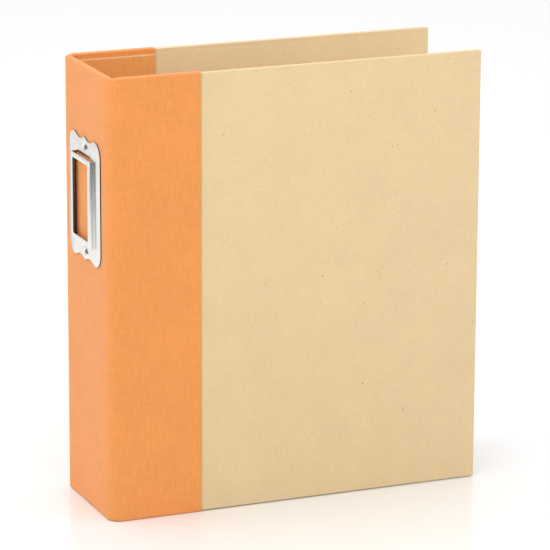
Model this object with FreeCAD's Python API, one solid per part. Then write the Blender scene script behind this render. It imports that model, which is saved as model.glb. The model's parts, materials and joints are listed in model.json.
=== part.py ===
import FreeCAD, Part
import math
import os

# Cloth-spined ring album, closed and standing on its bottom edge.
# Frame: +Z up along the spine, -X out of the spine, -Y out of the front cover.
# The origin is the middle of the bottom of the whole album.
# Each solid is first drawn with X from the outside of the spine cloth and Y from the outside
# of the front cloth, and moved to the origin when it is saved.

# Case
albumHeight = 235.0
coverWidth = 208.0
albumDepth = 70.0
boardThick = 2.6
clothThick = 0.5
paperThick = 0.25
liningThick = 0.4
foldRadius = 6.5
clothReach = 50.0           # the outer cloth runs this far onto each cover
liningReach = 50.3          # and the lining this far
clothTurnIn = 15.0
paperTurnIn = 14.0
liningMargin = 3.2          # bare turn-in above and below the lining
pastedownMargin = 3.0
jointShort = 0.6            # the joint cloth draws in a little at each end
hingeOffset = 1.65          # hinge axis in from both outer faces of the fold

# Label holder on the spine
holderZ = 165.6
holderHalfWidth = 23.2
holderEar = 32.8            # half height over the rounded ears
earRadius = 7.6
earSweep = 118.0            # degrees of the ear's round
earDip = 30.9               # half height in the hollow beside the middle point
dipAcross = 6.6             # and how far the hollow is from the middle
neckHalfWidth = 1.8         # the middle point's sides
neckDrop = 0.8
holderSheet = 0.6
trayProud = 3.2
trayHalfWidth = 14.6
trayTop = 22.5
trayBottom = -23.8
trayRadius = 1.3
windowHalfWidth = 11.2
windowTop = 20.0
windowBottom = -20.4
windowRadius = 0.8
labelRivetSpread = 27.7
labelRivetHead = 2.4
labelRivetShank = 1.0
labelRivetDome = 1.4

# Ring mechanism, on the inside of the back cover
plateX = 31.0
plateLength = 190.0
plateHalfWidth = 18.5
plateHeight = 9.5
plateFlat = 7.0
plateSheet = 0.8
plateArcU = 14.9            # a point on the plate's curved side
plateArcH = 7.7
plateArcLean = 51.5         # degrees the surface there faces up from sideways
plateShoulder = 3.2
shoulderRound = 0.3
lipHeight = 2.4
lipInner = 15.7
bladePivotU = 15.2
bladePivotH = 4.2
bladeThick = 1.2
bladeSlope = 5.5            # degrees down to the middle when the rings are shut
bladeGap = 0.3              # from the mechanism's middle plane to each blade
bladeLength = 175.0
bladeNotchPlay = 0.7        # round the rivet posts
ringPitch = 69.85
ringRodRadius = 1.9
ringSlotIn = 9.8            # slots in the plate for the ring feet
ringSlotOut = 15.9
ringSlotPlay = 0.6
ringLegU = 12.3
ringFootH = 3.4
ringTopH = 49.0
straightLegTop = 40.0
bowedLegU = 14.5
bowedLegTop = 30.0
tipGap = 0.15               # half the gap between two ring tips
tipPast = 0.4               # the tips meet this far past the bow's centre
plateRivetSpread = 82.0
rivetShank = 2.0
rivetBarrel = 3.2
rivetTopHead = 4.2
rivetBackHead = 4.5
rivetHeadHeight = 0.9

# Opening levers
leverHalfWidth = 8.0
leverThick = 1.2
leverAngle = 65.0           # degrees the tab stands up from the cover
leverReach = 15.0
leverPivotIn = 3.0          # pivot in from the end of the plate
leverPivotH = 5.5
leverHub = 2.0
leverRoll = 1.1             # rolled end of the tab
leverToe = 2.4              # the toe that pushes the blades
trunnionRadius = 1.25
trunnionHole = 1.3
trunnionPast = 0.3          # past the outer face of each ear
earU = 9.2
earDrop = 2.4               # the ears reach this far under the pivot
earSetback = 0.4            # from the end of the plate
notchHalfWidth = 8.8
notchDepth = 5.2

# Worked out
midZ = albumHeight / 2.0
backInner = albumDepth - (clothThick + paperThick + boardThick + paperThick
                          + clothThick + liningThick)
boardIn = clothThick + paperThick
originX = (coverWidth - trayProud) / 2.0
originY = (albumDepth + rivetHeadHeight) / 2.0

os.makedirs("parts", exist_ok=True)


def vec(x, y, z):
    return FreeCAD.Vector(x, y, z)


def block(x0, x1, y0, y1, z0, z1):
    return Part.makeBox(x1 - x0, y1 - y0, z1 - z0, vec(x0, y0, z0))


def rod(radius, start, end):
    run = end - start
    return Part.makeCylinder(radius, run.Length, start, run)


def fused(shapes):
    return shapes[0].multiFuse(shapes[1:]).removeSplitter()


def save(name, shape):
    placed = shape.copy()
    placed.translate(vec(-originX, -originY, 0))
    solids = placed.Solids
    assert solids and all(s.isValid() for s in solids), name
    placed = solids[0] if len(solids) == 1 else Part.makeCompound(solids)
    placed.exportStep("parts/" + name + ".step")


def onBack(shape):
    # the back cover is the front one mirrored across the middle of the album's depth
    return shape.mirror(vec(0, albumDepth / 2.0, 0), vec(0, 1, 0))


# Covers: board, paper wrap, paper lining sheet, cloth panel, cloth lining

def coverBoard():
    return block(foldRadius, coverWidth - paperThick, boardIn, boardIn + boardThick,
                 boardIn, albumHeight - boardIn)


def paperWrap():
    inner = boardIn + boardThick
    wrap = block(foldRadius, coverWidth, clothThick, inner + paperThick,
                 clothThick, albumHeight - clothThick)
    bare = block(0, coverWidth - paperTurnIn, inner, inner + paperThick,
                 clothThick + paperTurnIn, albumHeight - clothThick - paperTurnIn)
    return wrap.cut(coverBoard()).cut(bare)


def pastedown():
    inner = boardIn + boardThick
    sheet = block(liningReach, coverWidth - pastedownMargin, inner + paperThick,
                  inner + 2 * paperThick, pastedownMargin, albumHeight - pastedownMargin)
    fill = block(liningReach, coverWidth - paperTurnIn, inner, inner + paperThick,
                 clothThick + paperTurnIn, albumHeight - clothThick - paperTurnIn)
    return fused([sheet, fill])


def clothPanel():
    inner = boardIn + boardThick + paperThick
    wrap = block(foldRadius, clothReach, 0, inner + clothThick, 0, albumHeight)
    filled = block(0, coverWidth, clothThick, inner, clothThick, albumHeight - clothThick)
    bare = block(0, coverWidth, inner, inner + clothThick, clothTurnIn, albumHeight - clothTurnIn)
    return wrap.cut(filled).cut(bare)


def coverLining():
    board = boardIn + boardThick
    face = board + paperThick + clothThick
    sheet = block(foldRadius, liningReach, face, face + liningThick,
                  liningMargin, albumHeight - liningMargin)
    fill = block(foldRadius, liningReach, board + paperThick, face,
                 clothTurnIn, albumHeight - clothTurnIn)
    underFill = block(foldRadius, liningReach, board, board + paperThick,
                      clothThick + paperTurnIn, albumHeight - clothThick - paperTurnIn)
    beside = block(clothReach, liningReach, board + paperThick, face,
                   liningMargin, albumHeight - liningMargin)
    return fused([sheet, fill, underFill, beside])


# Spine: board, cloth, lining

def labelRivetHoles():
    holes = []
    for side in (-1, 1):
        z = holderZ + side * labelRivetSpread
        holes.append(rod(labelRivetShank, vec(-5, albumDepth / 2.0, z), vec(5, albumDepth / 2.0, z)))
    return holes


def spineBoard():
    board = block(clothThick, clothThick + boardThick, foldRadius, albumDepth - foldRadius,
                  clothThick, albumHeight - clothThick)
    return board.cut(labelRivetHoles())


def spineCloth():
    inner = clothThick + boardThick
    wrap = block(0, inner + clothThick, foldRadius, albumDepth - foldRadius, 0, albumHeight)
    filled = block(clothThick, inner, 0, albumDepth, clothThick, albumHeight - clothThick)
    bare = block(inner, inner + clothThick, 0, albumDepth, clothTurnIn, albumHeight - clothTurnIn)
    return wrap.cut(filled).cut(bare).cut(labelRivetHoles())


def spineLining():
    inner = clothThick + boardThick
    sheet = block(inner + clothThick, inner + clothThick + liningThick, foldRadius,
                  albumDepth - foldRadius, liningMargin, albumHeight - liningMargin)
    fill = block(inner, inner + clothThick, foldRadius, albumDepth - foldRadius,
                 clothTurnIn, albumHeight - clothTurnIn)
    return fused([sheet, fill])


def jointStrip(outerRadius, thickness, endMargin):
    centre = vec(foldRadius, foldRadius, endMargin)
    length = albumHeight - 2 * endMargin
    outer = Part.makeCylinder(outerRadius, length, centre, vec(0, 0, 1), 90)
    inner = Part.makeCylinder(outerRadius - thickness, length, centre, vec(0, 0, 1), 90)
    strip = outer.cut(inner)
    strip.rotate(centre, vec(0, 0, 1), 180)
    return strip


# Label holder: a stamped sheet with a drawn tray, open at the top for the card

def holderOutline(x):
    # corner points of one quarter, mirrored round the plate: side, ear, hollow, middle point
    earY = holderHalfWidth - earRadius
    earZ = holderEar - earRadius
    earEnd = math.radians(earSweep)
    side = (holderHalfWidth, earZ)
    earHalf = math.radians(earSweep / 2.0)
    earMid = (earY + earRadius * math.cos(earHalf), earZ + earRadius * math.sin(earHalf))
    earTip = (earY + earRadius * math.cos(earEnd), earZ + earRadius * math.sin(earEnd))
    hollow = (dipAcross, earDip)
    neck = (neckHalfWidth, holderEar - neckDrop)
    tip = (0.0, holderEar)

    def at(point, sideY, sideZ):
        return vec(x, albumDepth / 2.0 + sideY * point[0], holderZ + sideZ * point[1])

    edges = []
    for sideZ in (1, -1):
        for sideY in (1, -1):
            quarter = [Part.Arc(at(side, sideY, sideZ), at(earMid, sideY, sideZ), at(earTip, sideY, sideZ)),
                       Part.Arc(at(earTip, sideY, sideZ), at(hollow, sideY, sideZ), at(neck, sideY, sideZ)),
                       Part.LineSegment(at(neck, sideY, sideZ), at(tip, sideY, sideZ))]
            edges += [curve.toShape() for curve in quarter]
    for sideY in (1, -1):
        edges.append(Part.LineSegment(at(side, sideY, 1), at(side, sideY, -1)).toShape())
    return Part.Wire(Part.__sortEdges__(edges))


def trayBlock(shrink, proud):
    # the drawn tray's body, rounded at its lower corners and along its raised edges
    y0 = albumDepth / 2.0 - trayHalfWidth + shrink
    y1 = albumDepth / 2.0 + trayHalfWidth - shrink
    body = block(-proud, 0, y0, y1, holderZ + trayBottom + shrink, holderZ + trayTop)
    raised = [edge for edge in body.Edges
              if abs(edge.BoundBox.XMin + proud) < 1e-6 and abs(edge.BoundBox.XMax + proud) < 1e-6
              and edge.BoundBox.ZMin < holderZ + trayTop - 1]
    return body.makeFillet(trayRadius - shrink, raised)


def labelHolder():
    flange = Part.Face(holderOutline(-holderSheet)).extrude(vec(holderSheet, 0, 0))
    middle = albumDepth / 2.0
    hollow = trayBlock(holderSheet, trayProud - holderSheet)
    window = block(-5, 1, middle - windowHalfWidth, middle + windowHalfWidth,
                   holderZ + windowBottom, holderZ + windowTop)
    window = window.makeFillet(windowRadius, [e for e in window.Edges if e.BoundBox.XLength > 5.9])
    return fused([flange, trayBlock(0, trayProud)]).cut(hollow).cut(window).cut(labelRivetHoles())


def labelRivet(side):
    middle = albumDepth / 2.0
    z = holderZ + side * labelRivetSpread
    ballRadius = (labelRivetHead ** 2 + labelRivetDome ** 2) / (2 * labelRivetDome)
    ball = Part.makeSphere(ballRadius, vec(ballRadius - holderSheet - labelRivetDome, middle, z))
    dome = ball.common(block(-9, -holderSheet, middle - 5, middle + 5, z - 5, z + 5))
    shank = rod(labelRivetShank, vec(-holderSheet, middle, z), vec(clothThick + boardThick, middle, z))
    return fused([dome, shank])


# Ring mechanism. Drawn with u across it, h up from the lining and z along it.

def mech(u, h, z):
    return vec(plateX + u, backInner - h, z)


def mechBlock(u0, u1, h0, h1, z0, z1):
    return block(plateX + u0, plateX + u1, backInner - h1, backInner - h0, z0, z1)


def curvedPlate():
    z0 = midZ - plateLength / 2.0
    t = plateSheet

    def half(side):
        lean = math.radians(plateArcLean)
        outerMid = (plateArcU, plateArcH)
        innerMid = (plateArcU - t * math.cos(lean), plateArcH - t * math.sin(lean))
        points = [(0, plateHeight), (plateFlat, plateHeight), outerMid, (plateHalfWidth, plateShoulder),
                  (plateHalfWidth, lipHeight), (lipInner, lipHeight), (lipInner, lipHeight + t),
                  (plateHalfWidth - t, lipHeight + t), (plateHalfWidth - t, plateShoulder + shoulderRound),
                  innerMid, (plateFlat - 0.1, plateHeight - t), (0, plateHeight - t)]
        p = [mech(side * u, h, z0) for u, h in points]
        edges = [Part.LineSegment(p[0], p[1]), Part.Arc(p[1], p[2], p[3]),
                 Part.LineSegment(p[3], p[4]), Part.LineSegment(p[4], p[5]),
                 Part.LineSegment(p[5], p[6]), Part.LineSegment(p[6], p[7]),
                 Part.LineSegment(p[7], p[8]), Part.Arc(p[8], p[9], p[10]),
                 Part.LineSegment(p[10], p[11]), Part.LineSegment(p[11], p[0])]
        outline = Part.Wire([e.toShape() for e in edges])
        return Part.Face(outline).extrude(vec(0, 0, plateLength))

    return fused([half(1), half(-1)])


def ringPlate():
    plate = curvedPlate()
    cuts = []
    for ring in (-1, 0, 1):
        z = midZ + ring * ringPitch
        for side in (-1, 1):
            low, high = sorted((side * ringSlotIn, side * ringSlotOut))
            halfSlot = ringRodRadius + ringSlotPlay
            cuts.append(mechBlock(low, high, 5, 12, z - halfSlot, z + halfSlot))
    ears = []
    for side in (-1, 1):
        end = midZ + side * plateLength / 2.0
        low, high = sorted((end, end - side * notchDepth))
        cuts.append(mechBlock(-notchHalfWidth, notchHalfWidth, 6, 12, low - 0.01, high + 0.01))
        rivetZ = midZ + side * plateRivetSpread
        cuts.append(rod(rivetShank, mech(0, 5, rivetZ), mech(0, 12, rivetZ)))
        low, high = sorted((end - side * earSetback, end - side * notchDepth))
        for earSide in (-1, 1):
            u0, u1 = sorted((earSide * earU, earSide * (earU + plateSheet)))
            ear = mechBlock(u0, u1, leverPivotH - earDrop, plateHeight - plateSheet / 2.0, low, high)
            pivot = end - side * leverPivotIn
            hole = rod(trunnionHole, mech(u0 - 1, leverPivotH, pivot), mech(u1 + 1, leverPivotH, pivot))
            ears.append(ear.cut(hole))
    return fused([plate] + ears).cut(cuts)


def plateRivet(side):
    # shouldered post: back head outside the cover, barrel under the plate, head on top of it
    z = midZ + side * plateRivetSpread
    outside = backInner - albumDepth
    under = plateHeight - plateSheet
    backBall = (rivetBackHead ** 2 + rivetHeadHeight ** 2) / (2 * rivetHeadHeight)
    dome = Part.makeSphere(backBall, mech(0, outside - rivetHeadHeight + backBall, z))
    dome = dome.common(mechBlock(-9, 9, outside - 3, outside, z - 9, z + 9))
    topBall = (rivetTopHead ** 2 + rivetHeadHeight ** 2) / (2 * rivetHeadHeight)
    top = Part.makeSphere(topBall, mech(0, plateHeight + rivetHeadHeight - topBall, z))
    top = top.common(mechBlock(-9, 9, plateHeight, plateHeight + 3, z - 9, z + 9))
    shank = rod(rivetShank, mech(0, outside, z), mech(0, plateHeight, z))
    barrel = rod(rivetBarrel, mech(0, 0, z), mech(0, under, z))
    return fused([dome, shank, barrel, top])


def backRivetHoles():
    holes = []
    for side in (-1, 1):
        z = midZ + side * plateRivetSpread
        holes.append(rod(rivetShank, mech(0, -8, z), mech(0, 3, z)))
    return holes


def turned(face, centre, degrees):
    # the solid a face sweeps round an upright axis through centre
    return face.revolve(centre, vec(0, 0, 1), degrees)


def disc(centre, normal):
    return Part.Face(Part.Wire(Part.makeCircle(ringRodRadius, centre, normal)))


def pageSideRing(z):
    # straight leg, then a tight bend over to the tip
    bend = ringTopH - straightLegTop
    leg = rod(ringRodRadius, mech(ringLegU, ringFootH, z), mech(ringLegU, straightLegTop, z))
    corner = mech(ringLegU - bend, straightLegTop, z)
    arc = turned(disc(mech(ringLegU, straightLegTop, z), vec(0, 1, 0)), corner, -90)
    tip = rod(ringRodRadius, mech(ringLegU - bend, ringTopH, z), mech(tipU() + tipGap, ringTopH, z))
    return fused([leg, arc, tip])


def bowedArc():
    # leaning leg from (ringLegU, ringFootH) to (bowedLegU, bowedLegTop), then an arc up to ringTopH
    lean = math.atan2(bowedLegU - ringLegU, bowedLegTop - ringFootH)
    radius = (ringTopH - bowedLegTop) / (1 + math.sin(lean))
    centreU = -bowedLegU + radius * math.cos(lean)
    return lean, radius, centreU


def tipU():
    return bowedArc()[2] - tipPast


def spineSideRing(z):
    lean, radius, centreU = bowedArc()
    foot = mech(-ringLegU, ringFootH, z)
    shoulder = mech(-bowedLegU, bowedLegTop, z)
    leg = rod(ringRodRadius, foot, shoulder)
    centre = mech(centreU, ringTopH - radius, z)
    sweep = 90 + math.degrees(lean)
    arc = turned(disc(shoulder, shoulder - foot), centre, sweep)
    trim = mechBlock(tipU() - tipGap, 30, 30, 60, z - 9, z + 9)
    return fused([leg, arc]).cut(trim)


def blade(side):
    # flat strip from its pivot edge down to the middle, notched round the rivet posts
    z0 = midZ - bladeLength / 2.0
    half = bladeThick / 2.0
    reach = bladePivotU - bladeGap
    strip = block(0, reach, -half, half, z0, z0 + bladeLength)
    edge = Part.makeCylinder(half, bladeLength, vec(reach, 0, z0), vec(0, 0, 1))
    shape = fused([strip, edge])
    shape.rotate(vec(reach, 0, 0), vec(0, 0, 1), -bladeSlope)
    shape.translate(mech(bladeGap, bladePivotH, 0))
    trim = mechBlock(-5, bladeGap, 0, 9, z0 - 1, z0 + bladeLength + 1)
    shape = shape.cut(trim)
    if side < 0:
        shape = shape.mirror(mech(0, 0, 0), vec(1, 0, 0))
    notches = [rod(rivetBarrel + bladeNotchPlay, mech(0, 0, midZ + s * plateRivetSpread),
                   mech(0, 8, midZ + s * plateRivetSpread)) for s in (-1, 1)]
    ring = pageSideRing if side > 0 else spineSideRing
    feet = [ring(midZ + n * ringPitch) for n in (-1, 0, 1)]
    return shape.cut(notches + feet)


def lever(side):
    # s runs out of the plate's end from the pivot
    pivot = midZ + side * (plateLength / 2.0 - leverPivotIn)
    lean = math.radians(leverAngle)
    half = leverThick / 2.0

    def slab(s0, h0, s1, h1):
        run = math.hypot(s1 - s0, h1 - h0)
        across = ((h1 - h0) / run * half, -(s1 - s0) / run * half)
        corners = [(s0 + across[0], h0 + across[1]), (s1 + across[0], h1 + across[1]),
                   (s1 - across[0], h1 - across[1]), (s0 - across[0], h0 - across[1])]
        points = [mech(-leverHalfWidth, leverPivotH + h, pivot + side * s) for s, h in corners]
        return Part.Face(Part.makePolygon(points + points[:1])).extrude(vec(2 * leverHalfWidth, 0, 0))

    def across(radius, halfLength, s, h):
        return rod(radius, mech(-halfLength, leverPivotH + h, pivot + side * s),
                   mech(halfLength, leverPivotH + h, pivot + side * s))

    tabEnd = (leverReach * math.cos(lean), leverReach * math.sin(lean))
    pieces = [slab(0, 0, tabEnd[0], tabEnd[1]), across(leverRoll, leverHalfWidth, tabEnd[0], tabEnd[1]),
              across(leverHub, leverHalfWidth, 0, 0),
              across(trunnionRadius, earU + plateSheet + trunnionPast, 0, 0),
              slab(0, 0, -leverToe, -leverToe)]
    return fused(pieces)


front = {"board": coverBoard(), "kraft_wrap": paperWrap(), "pastedown": pastedown(),
         "cloth_panel": clothPanel(), "lining": coverLining()}
for name, shape in front.items():
    save("front_" + name, shape)
    save("back_" + name, onBack(shape).cut(backRivetHoles()))

save("spine_board", spineBoard())
save("spine_cloth", spineCloth())
save("spine_lining", spineLining())
strips = {"joint_cloth": jointStrip(foldRadius, clothThick, jointShort),
          "joint_lining": jointStrip(foldRadius - clothThick, liningThick, liningMargin)}
for name, shape in strips.items():
    save("front_" + name, shape)
    save("back_" + name, onBack(shape))

save("label_holder", labelHolder())
save("label_rivet_top", labelRivet(1))
save("label_rivet_bottom", labelRivet(-1))

save("ring_plate", ringPlate())
save("plate_rivet_top", plateRivet(1))
save("plate_rivet_bottom", plateRivet(-1))
save("page_side_blade", blade(1))
save("spine_side_blade", blade(-1))
for place, ring in (("bottom", -1), ("middle", 0), ("top", 1)):
    save("page_side_ring_" + place, pageSideRing(midZ + ring * ringPitch))
    save("spine_side_ring_" + place, spineSideRing(midZ + ring * ringPitch))
save("top_lever", lever(1))
save("bottom_lever", lever(-1))
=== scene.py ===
import json
import math

import bpy
from mathutils import Matrix, Vector, noise

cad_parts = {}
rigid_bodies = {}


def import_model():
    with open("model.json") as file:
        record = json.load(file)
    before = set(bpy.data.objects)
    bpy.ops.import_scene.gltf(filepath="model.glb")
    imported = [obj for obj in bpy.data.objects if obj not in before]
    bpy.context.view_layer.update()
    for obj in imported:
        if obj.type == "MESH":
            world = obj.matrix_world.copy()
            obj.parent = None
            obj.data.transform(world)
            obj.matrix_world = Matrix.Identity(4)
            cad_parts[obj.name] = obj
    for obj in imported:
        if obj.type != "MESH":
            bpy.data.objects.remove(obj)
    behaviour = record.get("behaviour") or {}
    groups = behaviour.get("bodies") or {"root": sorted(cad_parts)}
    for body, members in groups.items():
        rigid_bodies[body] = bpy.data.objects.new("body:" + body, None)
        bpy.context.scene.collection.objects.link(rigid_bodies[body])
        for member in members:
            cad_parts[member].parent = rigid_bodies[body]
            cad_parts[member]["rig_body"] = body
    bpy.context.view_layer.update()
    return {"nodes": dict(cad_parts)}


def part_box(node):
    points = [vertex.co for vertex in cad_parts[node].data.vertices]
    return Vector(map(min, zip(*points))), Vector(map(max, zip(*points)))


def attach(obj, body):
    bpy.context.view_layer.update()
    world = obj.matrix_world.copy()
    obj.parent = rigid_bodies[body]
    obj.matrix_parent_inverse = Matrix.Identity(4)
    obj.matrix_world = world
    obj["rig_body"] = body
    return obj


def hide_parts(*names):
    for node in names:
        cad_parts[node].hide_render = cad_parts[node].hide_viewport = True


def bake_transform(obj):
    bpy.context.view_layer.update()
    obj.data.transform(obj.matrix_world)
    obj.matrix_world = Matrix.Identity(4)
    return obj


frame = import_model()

mm = 0.001

# where the album is, read from the frame
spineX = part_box("spine_cloth")[0].x             # outside of the spine
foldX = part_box("front_cloth_panel")[0].x        # where the covers' boards begin
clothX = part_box("front_cloth_panel")[1].x       # where the outer cloth ends on the covers
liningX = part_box("front_lining")[1].x
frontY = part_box("front_cloth_panel")[0].y
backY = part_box("back_cloth_panel")[1].y
middleY = (frontY + backY) / 2
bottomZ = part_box("spine_cloth")[0].z
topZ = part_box("spine_cloth")[1].z
foldRadius = foldX - spineX
halfDepth = (backY - frontY) / 2


def clearSelection():
    if bpy.context.object and bpy.context.object.mode != "OBJECT":
        bpy.ops.object.mode_set(mode="OBJECT")
    bpy.ops.object.select_all(action="DESELECT")


def makeActive(piece):
    clearSelection()
    piece.select_set(True)
    bpy.context.view_layer.objects.active = piece


def editWhole(piece, operator, **settings):
    # one edit-mode operator on everything in the piece
    makeActive(piece)
    bpy.ops.object.mode_set(mode="EDIT")
    bpy.ops.mesh.select_all(action="SELECT")
    operator(**settings)
    bpy.ops.object.mode_set(mode="OBJECT")


def addModifier(piece, kind, **settings):
    makeActive(piece)
    modifier = piece.modifiers.new(kind.lower(), kind)
    for key, value in settings.items():
        setattr(modifier, key, value)
    bpy.ops.object.modifier_apply(modifier=modifier.name)


def placeInMesh(piece):
    makeActive(piece)
    bpy.ops.object.transform_apply(location=True, rotation=True, scale=True)


def smoothed(piece, degrees=35):
    makeActive(piece)
    bpy.ops.object.shade_smooth_by_angle(angle=math.radians(degrees))


def finishPiece(piece, name, material, body, nodes=()):
    piece.name = name
    piece.data.name = name
    piece.data.materials.clear()
    piece.data.materials.append(material)
    if body:
        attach(piece, body)
    if nodes:
        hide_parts(*nodes)
    return piece


def put(tree, kind, sockets=None, **settings):
    made = tree.nodes.new("ShaderNode" + kind)
    for key, value in settings.items():
        setattr(made, key, value)
    for key, value in (sockets or {}).items():
        if isinstance(value, bpy.types.NodeSocket):
            tree.links.new(value, made.inputs[key])
        else:
            made.inputs[key].default_value = value
    return made


def sums(tree, operation, first, second=0.0, third=0.0, clamp=False):
    return put(tree, "Math", {0: first, 1: second, 2: third}, operation=operation,
               use_clamp=clamp).outputs[0]


def ranged(tree, value, low, high, newLow=0.0, newHigh=1.0):
    return put(tree, "MapRange", {"Value": value, "From Min": low, "From Max": high,
                                  "To Min": newLow, "To Max": newHigh}).outputs[0]


def blended(tree, factor, first, second, way="MIX"):
    made = put(tree, "Mix", data_type="RGBA", blend_type=way)
    for socket, value in ((made.inputs[0], factor), (made.inputs[6], first), (made.inputs[7], second)):
        if isinstance(value, bpy.types.NodeSocket):
            tree.links.new(value, socket)
        else:
            socket.default_value = value
    return made.outputs[2]


def newGroup(name, inputs, outputs):
    group = bpy.data.node_groups.new(name, "ShaderNodeTree")
    for label, kind, value in inputs:
        socket = group.interface.new_socket(label, in_out="INPUT", socket_type="NodeSocket" + kind)
        if value is not None:
            socket.default_value = value
    for label in outputs:
        group.interface.new_socket(label, in_out="OUTPUT", socket_type="NodeSocketFloat")
    return group, group.nodes.new("NodeGroupInput"), group.nodes.new("NodeGroupOutput")


def useGroup(tree, group, sockets):
    return put(tree, "Group", sockets, node_tree=group)


def toned(tree, body, amount):
    grey = put(tree, "CombineColor", {0: amount, 1: amount, 2: amount}).outputs[0]
    return blended(tree, 1.0, body, grey, "MULTIPLY")


def noiseAt(tree, place, scale, detail=2.0, rough=0.5):
    return put(tree, "TexNoise", {"Vector": place, "Scale": scale, "Detail": detail,
                                  "Roughness": rough}).outputs["Fac"]


def stretched(tree, place, scale, turn=(0, 0, 0)):
    return put(tree, "Mapping", {"Vector": place, "Rotation": turn, "Scale": scale}).outputs[0]


def makeWeaveGroup():
    # plain weave of threads one unit apart, with thick and thin stretches along each thread
    group, given, made = newGroup("plainWeave", [("Vector", "Vector", None), ("Pitch", "Float", 0.0004)],
                                  ["Height", "Tone", "Gap"])
    scaled = put(group, "VectorMath", {0: given.outputs["Vector"]}, operation="DIVIDE")
    pitch = put(group, "CombineXYZ", {0: given.outputs["Pitch"], 1: given.outputs["Pitch"],
                                      2: given.outputs["Pitch"]})
    group.links.new(pitch.outputs[0], scaled.inputs[1])
    wobble = put(group, "TexNoise", {"Vector": stretched(group, scaled.outputs[0], (0.08, 0.08, 0.08)),
                                     "Scale": 1.0, "Detail": 2.0})
    push = put(group, "VectorMath", {0: wobble.outputs["Color"], 1: (1.6, 1.6, 0.0)}, operation="MULTIPLY")
    threads = put(group, "VectorMath", {0: scaled.outputs[0], 1: push.outputs[0]}, operation="ADD")
    axes = put(group, "SeparateXYZ", {0: threads.outputs[0]})
    across, along = axes.outputs[0], axes.outputs[1]
    warpSlub = noiseAt(group, stretched(group, threads.outputs[0], (0.8, 0.035, 1)), 1.0, 3.0, 0.6)
    weftSlub = noiseAt(group, stretched(group, threads.outputs[0], (0.035, 0.8, 1)), 1.0, 3.0, 0.6)
    warpRound = sums(group, "ABSOLUTE", sums(group, "SINE", sums(group, "MULTIPLY", across, math.pi)))
    weftRound = sums(group, "ABSOLUTE", sums(group, "SINE", sums(group, "MULTIPLY", along, math.pi)))
    cell = sums(group, "ADD", sums(group, "FLOOR", across), sums(group, "FLOOR", along))
    parity = sums(group, "ABSOLUTE", sums(group, "MODULO", cell, 2.0))
    warpTop = sums(group, "MULTIPLY", warpRound, sums(group, "MULTIPLY_ADD", weftRound, 0.45, 0.55))
    weftTop = sums(group, "MULTIPLY", weftRound, sums(group, "MULTIPLY_ADD", warpRound, 0.45, 0.55))
    warpTop = sums(group, "MULTIPLY", warpTop, sums(group, "MULTIPLY_ADD", warpSlub, 0.9, 0.5))
    weftTop = sums(group, "MULTIPLY", weftTop, sums(group, "MULTIPLY_ADD", weftSlub, 0.9, 0.5))
    height = put(group, "Mix", {0: parity, 2: warpTop, 3: weftTop}).outputs[0]
    tone = put(group, "Mix", {0: parity, 2: warpSlub, 3: weftSlub}).outputs[0]
    gap = ranged(group, height, 0.30, 0.05)
    for label, value in (("Height", height), ("Tone", tone), ("Gap", gap)):
        group.links.new(value, made.inputs[label])
    return group


def speckled(group, place, scale, rarity, small, spread):
    # long specks in the cells that a random draw picks
    cells = put(group, "TexVoronoi", {"Vector": stretched(group, place, scale), "Scale": 1.0,
                                      "Randomness": 1.0}, voronoi_dimensions="2D")
    chosen = put(group, "SeparateColor", {0: cells.outputs["Color"]})
    size = sums(group, "MULTIPLY_ADD", chosen.outputs[1], spread, small)
    spot = ranged(group, sums(group, "SUBTRACT", cells.outputs["Distance"], size), 0.010, -0.010)
    return sums(group, "MULTIPLY", ranged(group, chosen.outputs[0], rarity, rarity + 0.06), spot)


def makeFibreGroup():
    # short paper fibres lying in three directions, soft clouds of shade, and sparse dark flecks
    group, given, made = newGroup("paperFibres", [("Vector", "Vector", None)],
                                  ["Fibre", "Cloud", "Fleck", "Shive", "Pale", "Height"])
    place = given.outputs["Vector"]
    layers = []
    for turn, shift in ((0.15, 0.0), (1.25, 3.1), (2.3, 7.7)):
        turned = put(group, "Mapping", {"Vector": place, "Location": (shift, shift, shift),
                                        "Rotation": (0.0, turn, 0.0)}).outputs[0]
        drawn = stretched(group, turned, (520.0, 900.0, 4200.0))
        layers.append(ranged(group, noiseAt(group, drawn, 1.0, 2.0, 0.6), 0.56, 0.74))
    fibre = sums(group, "MAXIMUM", sums(group, "MAXIMUM", layers[0], layers[1]), layers[2])
    cloud = noiseAt(group, place, 45.0, 4.0, 0.62)
    axes = put(group, "SeparateXYZ", {0: place}).outputs
    upAndIn = sums(group, "MULTIPLY_ADD", axes[1], 3.1, axes[2])
    lying = put(group, "CombineXYZ", {0: axes[0], 1: upAndIn}).outputs[0]
    fleck = speckled(group, lying, (125.0, 62.0, 1.0), 0.86, 0.010, 0.028)
    shive = speckled(group, lying, (330.0, 120.0, 1.0), 0.70, 0.03, 0.05)
    pale = speckled(group, stretched(group, lying, (1.0, 1.0, 1.0), (0.0, 0.0, 1.1)), (210.0, 300.0, 1.0),
                    0.80, 0.02, 0.05)
    fine = noiseAt(group, place, 2600.0, 2.0, 0.6)
    height = sums(group, "ADD", sums(group, "MULTIPLY", fibre, 0.5), sums(group, "MULTIPLY", fine, 0.5))
    for label, value in (("Fibre", fibre), ("Cloud", cloud), ("Fleck", fleck), ("Shive", shive),
                         ("Pale", pale), ("Height", height)):
        group.links.new(value, made.inputs[label])
    return group


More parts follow.
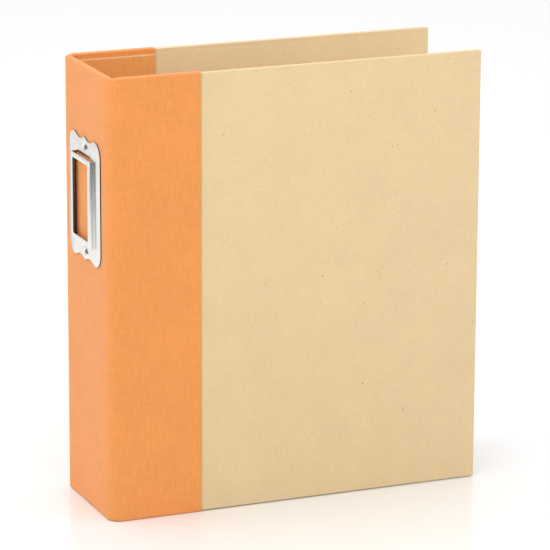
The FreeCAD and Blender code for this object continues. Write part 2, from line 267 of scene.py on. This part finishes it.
def makeScuffGroup():
    # handled metal: hairlines in two directions and soft smudges
    group, given, made = newGroup("handledMetal", [("Vector", "Vector", None)],
                                  ["Hairline", "Smudge"])
    place = given.outputs["Vector"]
    first = noiseAt(group, stretched(group, place, (900.0, 900.0, 45.0)), 1.0, 3.0, 0.6)
    second = noiseAt(group, stretched(group, place, (60.0, 70.0, 1400.0), (0.5, 0.2, 0.0)), 1.0, 2.0, 0.6)
    hairline = sums(group, "MAXIMUM", ranged(group, first, 0.60, 0.78), ranged(group, second, 0.62, 0.80))
    smudge = noiseAt(group, place, 140.0, 4.0, 0.6)
    group.links.new(hairline, made.inputs["Hairline"])
    group.links.new(smudge, made.inputs["Smudge"])
    return group


weaveGroup = makeWeaveGroup()
fibreGroup = makeFibreGroup()
scuffGroup = makeScuffGroup()
print("effects ready")


def startMaterial(name, **values):
    material = bpy.data.materials.new(name)
    material.use_nodes = True
    tree = material.node_tree
    shader = tree.nodes["Principled BSDF"]
    for key, value in values.items():
        shader.inputs[key].default_value = value
    return material, tree, shader


def setNormal(tree, shader, height, strength, distance):
    bump = put(tree, "Bump", {"Height": height, "Strength": strength, "Distance": distance})
    tree.links.new(bump.outputs[0], shader.inputs["Normal"])


def makeCloth(name, look):
    material, tree, shader = startMaterial(name, **{"Specular IOR Level": 0.3, "Sheen Weight": look["sheen"],
                                                    "Sheen Roughness": 0.45})
    flat = put(tree, "UVMap").outputs[0]
    weave = useGroup(tree, weaveGroup, {"Vector": flat, "Pitch": look["pitch"]})
    place = put(tree, "TexCoord").outputs["Object"]
    body = blended(tree, ranged(tree, weave.outputs["Tone"], 0.30, 0.72), look["deep"], look["light"])
    body = blended(tree, 0.5, body, look["thread"])
    slubs = noiseAt(tree, stretched(tree, flat, (1150.0, 95.0, 1.0)), 1.0, 3.0, 0.62)
    picks = noiseAt(tree, stretched(tree, flat, (150.0, 1300.0, 1.0)), 1.0, 2.0, 0.6)
    lumps = noiseAt(tree, stretched(tree, flat, (900.0, 1500.0, 1.0)), 1.0, 1.0, 0.5)
    knots = ranged(tree, lumps, 0.66, 0.80)
    streak = sums(tree, "MULTIPLY", ranged(tree, slubs, 0.50, 0.78), look["slub"])
    body = blended(tree, streak, body, look["light"])
    thin = sums(tree, "MULTIPLY", ranged(tree, slubs, 0.46, 0.22), look["slub"])
    body = blended(tree, thin, body, look["deep"])
    body = blended(tree, sums(tree, "MULTIPLY", ranged(tree, picks, 0.58, 0.80), 0.35 * look["slub"]), body,
                   look["deep"])
    body = blended(tree, sums(tree, "MULTIPLY", knots, 1.3 * look["slub"]), body, look["light"])
    soft = ranged(tree, noiseAt(tree, place, 260.0, 3.0, 0.6), 0.25, 0.75, 0.975, 1.025)
    body = toned(tree, body, soft)
    shade = ranged(tree, noiseAt(tree, place, 28.0, 4.0, 0.6), 0.30, 0.75, 0.96, 1.03)
    body = toned(tree, body, shade)
    # a loose, paler thread along the cut ends
    ends = put(tree, "SeparateXYZ", {0: place}).outputs[2]
    fromEnd = sums(tree, "MINIMUM", sums(tree, "SUBTRACT", ends, look["lowEnd"]),
                   sums(tree, "SUBTRACT", look["highEnd"], ends))
    loose = ranged(tree, slubs, 0.35, 0.52, 0.35, 1.0)
    fray = sums(tree, "MULTIPLY", ranged(tree, fromEnd, 0.0008, 0.0003), loose)
    body = blended(tree, fray, body, look["fray"])
    # painted shade in the gaps between the threads
    gapShaded = blended(tree, weave.outputs["Gap"], body, blended(tree, 0.6, body, look["deep"]))
    tree.links.new(gapShaded, shader.inputs["Base Color"])
    tree.links.new(ranged(tree, weave.outputs["Height"], 0.0, 1.0, 0.90, 0.70), shader.inputs["Roughness"])
    setNormal(tree, shader, weave.outputs["Height"], 0.55, 0.00012)
    return material


def makeKraft(name, look):
    material, tree, shader = startMaterial(name, **{"Specular IOR Level": 0.3})
    place = put(tree, "TexCoord").outputs["Object"]
    effect = useGroup(tree, fibreGroup, {"Vector": place})
    shade = ranged(tree, effect.outputs["Cloud"], 0.3, 0.7, 0.97, 1.03)
    body = toned(tree, look["paper"], shade)
    for output, colour in (("Fibre", "fibre"), ("Pale", "fibre"), ("Shive", "fleck"), ("Fleck", "fleck")):
        showing = sums(tree, "MULTIPLY", effect.outputs[output], look["show" + output])
        body = blended(tree, showing, body, look[colour])
    # painted shadow of the cloth's raised edge, darkening the paper in a narrow band beside it
    across = put(tree, "SeparateXYZ", {0: place}).outputs[0]
    clothShadowMask = ranged(tree, across, clothX + look["clothShadowGone"], clothX + look["clothShadowFull"])
    body = blended(tree, sums(tree, "MULTIPLY", clothShadowMask, look["clothShadowAmount"]), body, look["clothShadowColour"])
    tree.links.new(body, shader.inputs["Base Color"])
    tree.links.new(ranged(tree, effect.outputs["Cloud"], 0.2, 0.8, 0.84, 0.70), shader.inputs["Roughness"])
    setNormal(tree, shader, effect.outputs["Height"], 0.35, 0.00006)
    return material


def makeBoard(look):
    material, tree, shader = startMaterial("greyBoard", **{"Specular IOR Level": 0.2})
    place = put(tree, "TexCoord").outputs["Object"]
    layers = noiseAt(tree, stretched(tree, place, (300.0, 5200.0, 300.0)), 1.0, 3.0, 0.6)
    mottle = noiseAt(tree, place, 900.0, 3.0, 0.6)
    mask = sums(tree, "MULTIPLY", layers, mottle)
    grey = blended(tree, ranged(tree, mask, 0.12, 0.42), look["dark"], look["pale"])
    tree.links.new(grey, shader.inputs["Base Color"])
    tree.links.new(ranged(tree, mottle, 0.2, 0.8, 0.96, 0.84), shader.inputs["Roughness"])
    setNormal(tree, shader, layers, 0.4, 0.0001)
    return material


def makeNickel(name, look):
    material, tree, shader = startMaterial(name, Metallic=1.0)
    place = put(tree, "TexCoord").outputs["Object"]
    scuff = useGroup(tree, scuffGroup, {"Vector": place})
    tinted = blended(tree, ranged(tree, scuff.outputs["Smudge"], 0.35, 0.75, 0.0, 0.35), look["colour"],
                     tuple(0.86 * c for c in look["colour"][:3]) + (1,))
    # painted shade and dark reflection: the holder's walls and the rivets' sides are darkened towards the drawn
    # colour
    if look["drawn"]:
        wall = put(tree, "Attribute", attribute_name="sideShade").outputs["Fac"]
        tinted = blended(tree, wall, tinted, look["drawn"])
        # painted shadow and dark reflection: a near-black line along the holder's cut outline
        cut = put(tree, "Attribute", attribute_name="cutEdgeShadow").outputs["Fac"]
        tinted = blended(tree, cut, tinted, (0.022, 0.016, 0.012, 1))
    tree.links.new(tinted, shader.inputs["Base Color"])
    worn = sums(tree, "MULTIPLY_ADD", scuff.outputs["Hairline"], look["dull"], look["shine"])
    rough = sums(tree, "MULTIPLY_ADD", scuff.outputs["Smudge"], look["dull"] * 0.6, worn)
    tree.links.new(rough, shader.inputs["Roughness"])
    setNormal(tree, shader, scuff.outputs["Hairline"], 0.08, 0.00002)
    return material


outerLook = {
    "thread": (0.835, 0.318, 0.084, 1), "deep": (0.715, 0.226, 0.050, 1),
    "light": (0.91, 0.390, 0.122, 1),
    "fray": (0.95, 0.55, 0.28, 1), "pitch": 0.00042, "slub": 0.38, "sheen": 0.16,
    "lowEnd": bottomZ - 0.01, "highEnd": topZ + 0.01,
}
liningLook = {
    "thread": (0.87, 0.375, 0.104, 1), "deep": (0.73, 0.265, 0.060, 1), "light": (0.93, 0.445, 0.148, 1),
    "fray": (1.0, 0.70, 0.42, 1), "pitch": 0.00042, "slub": 0.38, "sheen": 0.1,
    "lowEnd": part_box("front_lining")[0].z, "highEnd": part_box("front_lining")[1].z,
}
kraftLook = {
    "paper": (0.700, 0.527, 0.301, 1), "fibre": (0.86, 0.70, 0.46, 1), "fleck": (0.11, 0.065, 0.03, 1),
    "showFibre": 0.5, "showPale": 0.16, "showShive": 0.17, "showFleck": 0.62,
    # painted shadow of the cloth's edge on the paper: its colour and strength, and where it is full and where it
    # is gone
    "clothShadowColour": (0.52, 0.42, 0.20, 1), "clothShadowAmount": 0.8,
    "clothShadowFull": 0.5 * mm, "clothShadowGone": 1.3 * mm,     # past the cloth's edge: full here, gone there
}
boardLook = {"dark": (0.20, 0.18, 0.15, 1), "pale": (0.36, 0.33, 0.28, 1)}
# drawn is the colour of the painted shade on the label holder's walls and rivet sides
labelLook = {"colour": (0.80, 0.79, 0.76, 1), "shine": 0.16, "dull": 0.16, "drawn": (0.16, 0.165, 0.15, 1)}
ringLook = {"colour": (0.60, 0.60, 0.585, 1), "shine": 0.13, "dull": 0.14, "drawn": None}
clothMaterial = makeCloth("orangeBookCloth", outerLook)
liningMaterial = makeCloth("orangeLiningCloth", liningLook)
kraftMaterial = makeKraft("kraftPaper", kraftLook)
boardMaterial = makeBoard(boardLook)
labelMaterial = makeNickel("brightNickel", labelLook)
ringMaterial = makeNickel("platedSteel", ringLook)
print("materials ready")


outerCloth = {
    "thick": 0.45 * mm,
    "turnIn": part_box("front_cloth_panel")[1].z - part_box("front_lining")[1].z + 12 * mm,     # 12 mm is hidden
    "overEdge": 4.5 * mm,           # cloth used going over the board's edge, at each end
    "outerRound": 1.0 * mm,         # roll over the outer corner of the board
    "innerRound": 0.8 * mm,
    "foldThick": 3.0 * mm,          # the rolled edge where there is no board
    "foldThin": 1.2 * mm,           # the doubled cloth below the roll
    "foldDip": 0.3 * mm,            # the folded edge draws in at the joints
    "dipEase": 4.5 * mm,
    "easeIn": 2.6 * mm,             # round the fold, from a board's end to the doubled cloth
    "rollDown": 3.2 * mm,           # height over which the roll flattens
    "columns": (24, 22, 16),        # on the cover, round the fold and on the spine
    "halfRows": 100,                # rows from mid-height to the end of the turn-in
    "rowShares": (0.78, 0.84, 0.88, 0.94, 1.0),     # up the outside, round, across, round, down
    "ripple": 0.05 * mm,
    "rippleFrom": 1 * mm,           # flat this close to the cut edge
    "rippleTo": 6 * mm,             # and this close to mid-spine
    "bendStart": (2.1, 4.4),        # mm in from the outside of the spine and of the cover
    "bendEnd": (4.15, 2.35),
}


def sheetGrid(name, columns, rows):
    clearSelection()
    bpy.ops.mesh.primitive_grid_add(x_subdivisions=columns, y_subdivisions=rows, size=2.0,
                                    location=(0, 0, 0), calc_uvs=True)
    piece = bpy.context.object
    piece.name = name
    return piece


def turnTowards(piece, edgeX, side, wanted):
    # flips the sheet if its face on the cover doesn't point the wanted way along Y
    target = Vector((edgeX - 20 * mm, frontY if side < 0 else backY, topZ / 2))
    nearest = min(piece.data.polygons, key=lambda face: (face.center - target).length)
    if nearest.normal.y * wanted < 0:
        editWhole(piece, bpy.ops.mesh.flip_normals)


def eased(share):
    share = min(max(share, 0.0), 1.0)
    return share * share * (3 - 2 * share)


def girthPath(across):
    # across runs 0 to the whole girth: along the cover from the cloth's edge, round the fold, to mid-spine
    onCover = clothX - foldX
    quarter = (foldRadius - outerCloth["thick"] / 2) * math.pi / 2
    if across <= onCover:
        return Vector((clothX - across, 0, 0)), Vector((0, 1, 0)), onCover - across, "cover"
    if across < onCover + quarter:
        angle = (across - onCover) / quarter * math.pi / 2
        inward = Vector((math.sin(angle), math.cos(angle), 0))
        centre = Vector((foldX, foldRadius, 0))
        return centre - inward * foldRadius, inward, 0.0, "fold"
    along = across - onCover - quarter
    return Vector((spineX, foldRadius + along, 0)), Vector((1, 0, 0)), along, "spine"


def girthStops():
    onCover = clothX - foldX
    quarter = (foldRadius - outerCloth["thick"] / 2) * math.pi / 2
    stops, start = [0.0], 0.0
    for count, length in zip(outerCloth["columns"], (onCover, quarter, halfDepth - foldRadius)):
        stops += [start + length * (tick + 1) / count for tick in range(count)]
        start += length
    return stops, onCover, quarter


def wrapProfile(part, total, thin, outerRound, innerRound, top):
    # part runs 0 to 1 from mid-height up the outside, over the edge and down the turn-in:
    # gives depth in from the outside, height, and distance along the cloth
    half = top / 2
    flatTop = max(total - outerRound - innerRound, 0.0)
    lengths = (half - outerRound, outerRound * math.pi / 2, flatTop, innerRound * math.pi / 2,
               outerCloth["turnIn"])
    shares = tuple(zip(outerCloth["rowShares"], lengths))
    start, run = 0.0, 0.0
    for index, (end, length) in enumerate(shares):
        if part <= end or index == 4:
            share = (part - start) / (end - start)
            run += share * length
            break
        run += length
        start = end
    if index == 0:
        return 0.0, half + share * length, run
    if index == 1:
        angle = share * math.pi / 2
        return outerRound * (1 - math.cos(angle)), top - outerRound * (1 - math.sin(angle)), run
    if index == 2:
        return outerRound + share * flatTop, top, run
    if index == 3:
        angle = share * math.pi / 2
        return total - innerRound * (1 - math.sin(angle)), top - innerRound * (1 - math.cos(angle)), run
    down = min(share * length / outerCloth["rollDown"], 1.0)
    return total + (thin - total) * down * down * (3 - 2 * down), top - innerRound - share * length, run


def clothSide(name, side):
    # one half of the outer cloth: cover, fold and half the spine. side -1 is the front, 1 the back
    values = outerCloth
    stops, onCover, quarter = girthStops()
    girth = stops[-1]
    piece = sheetGrid(name, len(stops) - 1, 2 * values["halfRows"])
    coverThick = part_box("front_cloth_panel")[1].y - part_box("front_cloth_panel")[0].y
    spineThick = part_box("spine_cloth")[1].x - spineX
    height = topZ - bottomZ
    runs = {}
    for point in piece.data.vertices:
        across = stops[round((point.co.x + 1) / 2 * (len(stops) - 1))]
        part = min(abs(point.co.y), 1.0)
        base, inward, fromBoard, zone = girthPath(across)
        settle, dip = 0.0, 0.0
        boardThick = coverThick if zone == "cover" else spineThick
        thin = boardThick
        if zone == "fold":
            pastCover, beforeSpine = across - onCover, onCover + quarter - across
            boardThick = coverThick if pastCover < beforeSpine else spineThick
            fromEnd = min(pastCover, beforeSpine)
            settle = eased(fromEnd / values["easeIn"])
            dip = eased(fromEnd / values["dipEase"])
            thin = boardThick + (values["foldThin"] - boardThick) * settle
            boardThick += (values["foldThick"] - boardThick) * dip
        outerRound = values["outerRound"]
        innerRound = values["innerRound"]
        top = height - values["foldDip"] * dip
        depth, up, run = wrapProfile(part, boardThick, thin, outerRound, innerRound, top)
        half = 1 if point.co.y > 0 else -1
        ripple = noise.noise(Vector((across * 40, up * 30 * half, 3.0))) * values["ripple"]
        if depth > 0.0 or across > girth - values["rippleTo"] or across < values["rippleFrom"]:
            ripple = 0.0
        spot = base + inward * (depth + abs(ripple))
        up = up if point.co.y >= 0 else height - up
        runs[point.index] = (across, run if point.co.y >= 0 else -run)
        y = frontY + spot.y if side < 0 else backY - spot.y
        point.co = Vector((spot.x, y, bottomZ + up))
    layer = piece.data.uv_layers.active
    for loop in piece.data.loops:
        layer.data[loop.index].uv = runs[loop.vertex_index]
    editWhole(piece, bpy.ops.mesh.normals_make_consistent, inside=False)
    turnTowards(piece, clothX, side, side)
    addModifier(piece, "SOLIDIFY", thickness=values["thick"], offset=-1.0, use_even_offset=False)
    smoothed(piece, 40)
    return piece


def blendPoints(side):
    # the points where the cloth's bend between the spine and the cover starts and ends, from bendStart and
    # bendEnd
    def spot(x, y):
        return (spineX + x * mm, (frontY + y * mm) if side < 0 else (backY - y * mm), topZ / 2)
    return spot(*outerCloth["bendStart"]), spot(*outerCloth["bendEnd"])


for side, name, body, nodes in ((-1, "outer_cloth_front", "front_cover",
                                 ("front_cloth_panel", "front_joint_cloth", "spine_cloth")),
                                (1, "outer_cloth_back", "back_cover",
                                 ("back_cloth_panel", "back_joint_cloth"))):
    piece = clothSide(name, side)
    finishPiece(piece, name, clothMaterial, None, nodes)
    start, end = blendPoints(side)
    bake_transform(piece)
    girthStops()[0][-1]
print("outer cloth ready")


liningCloth = {
    "thick": 0.4 * mm,
    "ticks": 12,                    # short steps between two points of the path
    "rows": 90,
    # the visible side of the lining in the fold, from the cover's inside to the diagonal, in mm
    # from the outside of the spine and of the cover
    "foldPoints": ((9.0, 0.0), (7.2, 0.0), (6.2, -0.05), (5.5, -0.6), (4.9, -1.8), (4.2, -2.5), (3.3, -2.3)),
    "diagonal": 2.6,
}


def liningPath():
    values = liningCloth
    coverIn = (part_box("front_lining")[1].y - frontY) / mm
    spineIn = (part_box("spine_lining")[1].x - spineX) / mm
    edge = (liningX - spineX) / mm
    coverSide = [(x, coverIn + y) for x, y in values["foldPoints"]]
    spineSide = [(spineIn + y, x) for x, y in reversed(values["foldPoints"])]
    start = [(edge, coverIn - 0.3), (edge - 1.5, coverIn - 0.22), (edge - 4.0, coverIn)]
    points = start + coverSide + [(values["diagonal"], values["diagonal"])] + spineSide
    points.append((spineIn, halfDepth / mm))
    return [Vector((x * mm, y * mm, 0)) for x, y in points]


def smoothPath(points, ticks):
    # a smooth line through the points
    fine = []
    for index in range(len(points) - 1):
        before = points[max(index - 1, 0)]
        after = points[min(index + 2, len(points) - 1)]
        first, second = points[index], points[index + 1]
        gap = (second - first).length
        leave = (second - before).normalized() * gap * 0.5
        arrive = (after - first).normalized() * gap * 0.5
        for tick in range(ticks):
            t = tick / ticks
            fine.append(first * (2 * t ** 3 - 3 * t ** 2 + 1) + leave * (t ** 3 - 2 * t ** 2 + t) * 2
                        + second * (3 * t ** 2 - 2 * t ** 3) + arrive * (t ** 3 - t ** 2) * 2)
    fine.append(points[-1])
    return fine


def liningSide(name, side):
    values = liningCloth
    fine = smoothPath(liningPath(), values["ticks"])
    low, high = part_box("front_lining")[0].z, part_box("front_lining")[1].z
    piece = sheetGrid(name, len(fine) - 1, values["rows"])
    lengths = [0.0]
    for first, second in zip(fine, fine[1:]):
        lengths.append(lengths[-1] + (second - first).length)
    runs = {}
    for point in piece.data.vertices:
        column = round((point.co.x + 1) / 2 * (len(fine) - 1))
        up = low + (point.co.y + 1) / 2 * (high - low)
        spot = fine[column]
        y = frontY + spot.y if side < 0 else backY - spot.y
        runs[point.index] = (lengths[column], up)
        point.co = Vector((spineX + spot.x, y, up))
    layer = piece.data.uv_layers.active
    for loop in piece.data.loops:
        layer.data[loop.index].uv = runs[loop.vertex_index]
    turnTowards(piece, liningX, side, -side)
    addModifier(piece, "SOLIDIFY", thickness=values["thick"], offset=-1.0, use_even_offset=True)
    smoothed(piece, 40)
    return piece, lengths[-1], high - low


for side, name, body, nodes in ((-1, "lining_front", "front_cover",
                                 ("front_lining", "front_joint_lining", "spine_lining")),
                                (1, "lining_back", "back_cover", ("back_lining", "back_joint_lining"))):
    piece, girth, height = liningSide(name, side)
    finishPiece(piece, name, liningMaterial, None, nodes)
    start, end = blendPoints(side)
    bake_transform(piece)
print("lining ready")


paperCover = {
    "round": 0.45 * mm,             # the paper's roll over the board's edges
    "roundSteps": 3,
    "insideThick": 0.25 * mm,
    "insideRound": 0.08 * mm,
    "insideSteps": 2,
}


def boxPiece(name, low, high):
    clearSelection()
    bpy.ops.mesh.primitive_cube_add(size=1.0, location=(low + high) / 2)
    piece = bpy.context.object
    piece.name = name
    piece.scale = high - low
    placeInMesh(piece)
    return piece


def paperBoard(prefix):
    values = paperCover
    low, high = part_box(prefix + "_kraft_wrap")
    piece = boxPiece(prefix + "_kraft_cover", low.copy(), high.copy())
    editWhole(piece, bpy.ops.mesh.bevel, offset=values["round"], segments=values["roundSteps"],
              profile=0.5, affect="EDGES")
    smoothed(piece, 35)
    return finishPiece(piece, prefix + "_kraft_cover", kraftMaterial, prefix + "_cover",
                       (prefix + "_kraft_wrap",))


def insidePaper(prefix, side):
    values = paperCover
    low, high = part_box(prefix + "_pastedown")
    inner = low.y if side > 0 else high.y
    if side < 0:
        low = Vector((low.x, inner - values["insideThick"], low.z))
    else:
        high = Vector((high.x, inner + values["insideThick"], high.z))
    piece = boxPiece(prefix + "_inside_paper", low, high)
    editWhole(piece, bpy.ops.mesh.bevel, offset=values["insideRound"], segments=values["insideSteps"],
              profile=0.5, affect="EDGES")
    smoothed(piece, 35)
    return finishPiece(piece, prefix + "_inside_paper", kraftMaterial, prefix + "_cover",
                       (prefix + "_pastedown",))


for prefix, side in (("front", -1), ("back", 1)):
    paperBoard(prefix)
    insidePaper(prefix, side)
for node in ("front_board", "back_board", "spine_board"):
    frame["nodes"][node].data.materials.clear()
    frame["nodes"][node].data.materials.append(boardMaterial)
print("covers ready")


edgeBreaks = {
    "label": 0.06 * mm,
    "plate": 0.15 * mm,
    "strips": 0.12 * mm,            # levers and blades
    "round": 0.15 * mm,             # posts and rings
    "roundAngle": 50,               # only edges sharper than this, degrees
}


def softEdged(node, width, material, angle=30):
    # a merged copy of the machined part with its sharp edges broken
    source = frame["nodes"][node]
    body = source["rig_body"]
    piece = bpy.data.objects.new(node + "_metal", source.data.copy())
    bpy.context.scene.collection.objects.link(piece)
    makeActive(piece)
    bpy.ops.object.mode_set(mode="EDIT")
    bpy.ops.mesh.select_all(action="SELECT")
    bpy.ops.mesh.remove_doubles(threshold=0.001 * mm)
    if piece.data.has_custom_normals:
        bpy.ops.mesh.customdata_custom_splitnormals_clear()
    bpy.ops.mesh.dissolve_limited(angle_limit=math.radians(0.5))
    bpy.ops.object.mode_set(mode="OBJECT")
    if width:
        addModifier(piece, "BEVEL", width=width, segments=2, limit_method="ANGLE",
                    angle_limit=math.radians(angle), use_clamp_overlap=True)
    smoothed(piece, 40)
    return finishPiece(piece, node + "_metal", material, body, (node,))


holderShade = {
    "wallFrom": 0.30, "wallFull": 0.95,     # how far a face turns sideways before its painted shade starts and is full
    "wallTop": 0.88, "wallFoot": 0.12,      # strength of the painted shade on the outer walls at the tray's top and foot
    # the same for the painted shade on the rivets' sides
    "domeFrom": 0.40, "domeFull": 0.85,
    "sheet": 0.62 * mm,
}


def paintSideShade(piece, dome=False):
    # painted shade: faces turned along the spine's width, the tray's walls and the rivets' sides, are darkened,
    # for dark reflections and the shade under the frame; outward walls are darker at the top and lighter at the
    # foot, inward walls are dark all over; the cut outline gets a painted shadow line
    values = holderShade
    wallSpan = values["wallFull"] - values["wallFrom"]
    domeSpan = values["domeFull"] - values["domeFrom"]
    low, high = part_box("label_holder")
    walls = piece.data.attributes.new("sideShade", "FLOAT", "CORNER")
    cuts = piece.data.attributes.new("cutEdgeShadow", "FLOAT", "CORNER")
    for face in piece.data.polygons:
        # the cut outline gets a painted shadow line
        outline = abs(face.normal.x) < 0.3 and face.center.x > high.x - values["sheet"] and not dome
        for loop in face.loop_indices:
            spot = piece.data.vertices[piece.data.loops[loop].vertex_index].co
            facing = abs(piece.data.corner_normals[loop].vector.y)
            if dome:
                wall = eased((facing - values["domeFrom"]) / domeSpan)
            else:
                rise = min(max((spot.z - low.z) / (high.z - low.z) * 1.4 - 0.2, 0.0), 1.0)
                outward = face.normal.y * (face.center.y - middleY) > 0
                grade = 1.0
                if outward:
                    grade = values["wallFoot"] + (values["wallTop"] - values["wallFoot"]) * rise
                wall = grade * eased((facing - values["wallFrom"]) / wallSpan)
            walls.data[loop].value = wall
            cuts.data[loop].value = 1.0 if outline else 0.0


paintSideShade(softEdged("label_holder", edgeBreaks["label"], labelMaterial))
for node in ("label_rivet_top", "label_rivet_bottom"):
    paintSideShade(softEdged(node, 0.0, labelMaterial), dome=True)
softEdged("ring_plate", edgeBreaks["plate"], ringMaterial)
for node in ("top_lever", "bottom_lever", "page_side_blade", "spine_side_blade"):
    softEdged(node, edgeBreaks["strips"], ringMaterial)
for node in ["plate_rivet_top", "plate_rivet_bottom"] + [
        where + "_ring_" + place for where in ("page_side", "spine_side")
        for place in ("top", "middle", "bottom")]:
    softEdged(node, edgeBreaks["round"], ringMaterial, edgeBreaks["roundAngle"])
print("metal ready")


studio = {
    "turn": -22.612,                # camera's swing round the album, degrees
    "tilt": 15.116,
    "roll": 0.249,
    "aimX": 0.38853,                # aim point, as shares of the album's height from the spine's foot
    "aimZ": 0.52913,
    "distance": 7.9784,             # in album heights
    "lens": 236.33,
    "floor": (0.84, 0.84, 0.84, 1),
    "sky": 0.98,
    "lamps": {                      # place, aim, width, power in watts
        "key_softbox": ((-0.4, -1.1, 1.55), (0, 0, 0.15), 1.5, 8.5),
        "top_softbox": ((-0.2, 0.35, 1.5), (0, 0, 0.15), 1.4, 5.0),
        "left_softbox": ((-1.6, 0.2, 0.8), (-0.05, 0, 0.12), 1.2, 4.6),
        "right_softbox": ((1.5, -1.2, 1.0), (0.08, 0, 0.12), 1.2, 3.6),
    },
}


def makeCamera():
    turn, tilt, roll = (math.radians(studio[key]) for key in ("turn", "tilt", "roll"))
    height = topZ - bottomZ
    ahead = Vector((-math.sin(turn) * math.cos(tilt), math.cos(turn) * math.cos(tilt), -math.sin(tilt)))
    right = Vector((math.cos(turn), math.sin(turn), 0))
    up = right.cross(ahead)
    rolledRight = right * math.cos(roll) + up * math.sin(roll)
    rolledUp = up * math.cos(roll) - right * math.sin(roll)
    aim = Vector((spineX + studio["aimX"] * height, frontY, bottomZ + studio["aimZ"] * height))
    clearSelection()
    bpy.ops.object.camera_add(location=aim - ahead * studio["distance"] * height)
    camera = bpy.context.object
    turned = Matrix((rolledRight, rolledUp, -ahead)).transposed()
    camera.rotation_euler = turned.to_euler()
    camera.data.lens = studio["lens"]
    camera.data.sensor_width = 36.0
    camera.data.clip_start = 0.05
    camera.data.clip_end = 50.0
    bpy.context.scene.camera = camera


def makeFloor():
    clearSelection()
    bpy.ops.mesh.primitive_plane_add(size=24.0, location=(0, 0, bottomZ - 0.05 * mm))
    floor = bpy.context.object
    floor.name = "studio_floor"
    material, tree, shader = startMaterial("whiteTable", **{"Specular IOR Level": 0.38})
    place = put(tree, "TexCoord").outputs["Object"]
    cloud = noiseAt(tree, place, 3.0, 2.0, 0.5)
    light = tuple(min(c * 1.02, 1.0) for c in studio["floor"][:3]) + (1,)
    tree.links.new(blended(tree, cloud, studio["floor"], light), shader.inputs["Base Color"])
    tree.links.new(ranged(tree, cloud, 0.0, 1.0, 0.15, 0.18), shader.inputs["Roughness"])
    floor.data.materials.append(material)


def addLight(name, place, aim, width, power):
    clearSelection()
    bpy.ops.object.light_add(type="AREA", location=place)
    lamp = bpy.context.object
    lamp.name = name
    lamp.data.shape = "RECTANGLE"
    lamp.data.size = width
    lamp.data.size_y = width
    lamp.data.energy = power
    lamp.rotation_euler = (Vector(aim) - Vector(place)).to_track_quat("-Z", "Y").to_euler()


def makeLights():
    for name, settings in studio["lamps"].items():
        addLight(name, *settings)
    world = bpy.data.worlds.new("studio_light")
    bpy.context.scene.world = world
    world.use_nodes = True
    tree = world.node_tree
    back = tree.nodes["Background"]
    back.inputs["Color"].default_value = (1, 1, 1, 1)
    back.inputs["Strength"].default_value = studio["sky"]


makeCamera()
makeFloor()
makeLights()
scene = bpy.context.scene
scene.view_settings.view_transform = "Standard"
scene.view_settings.look = "None"
print("studio ready")
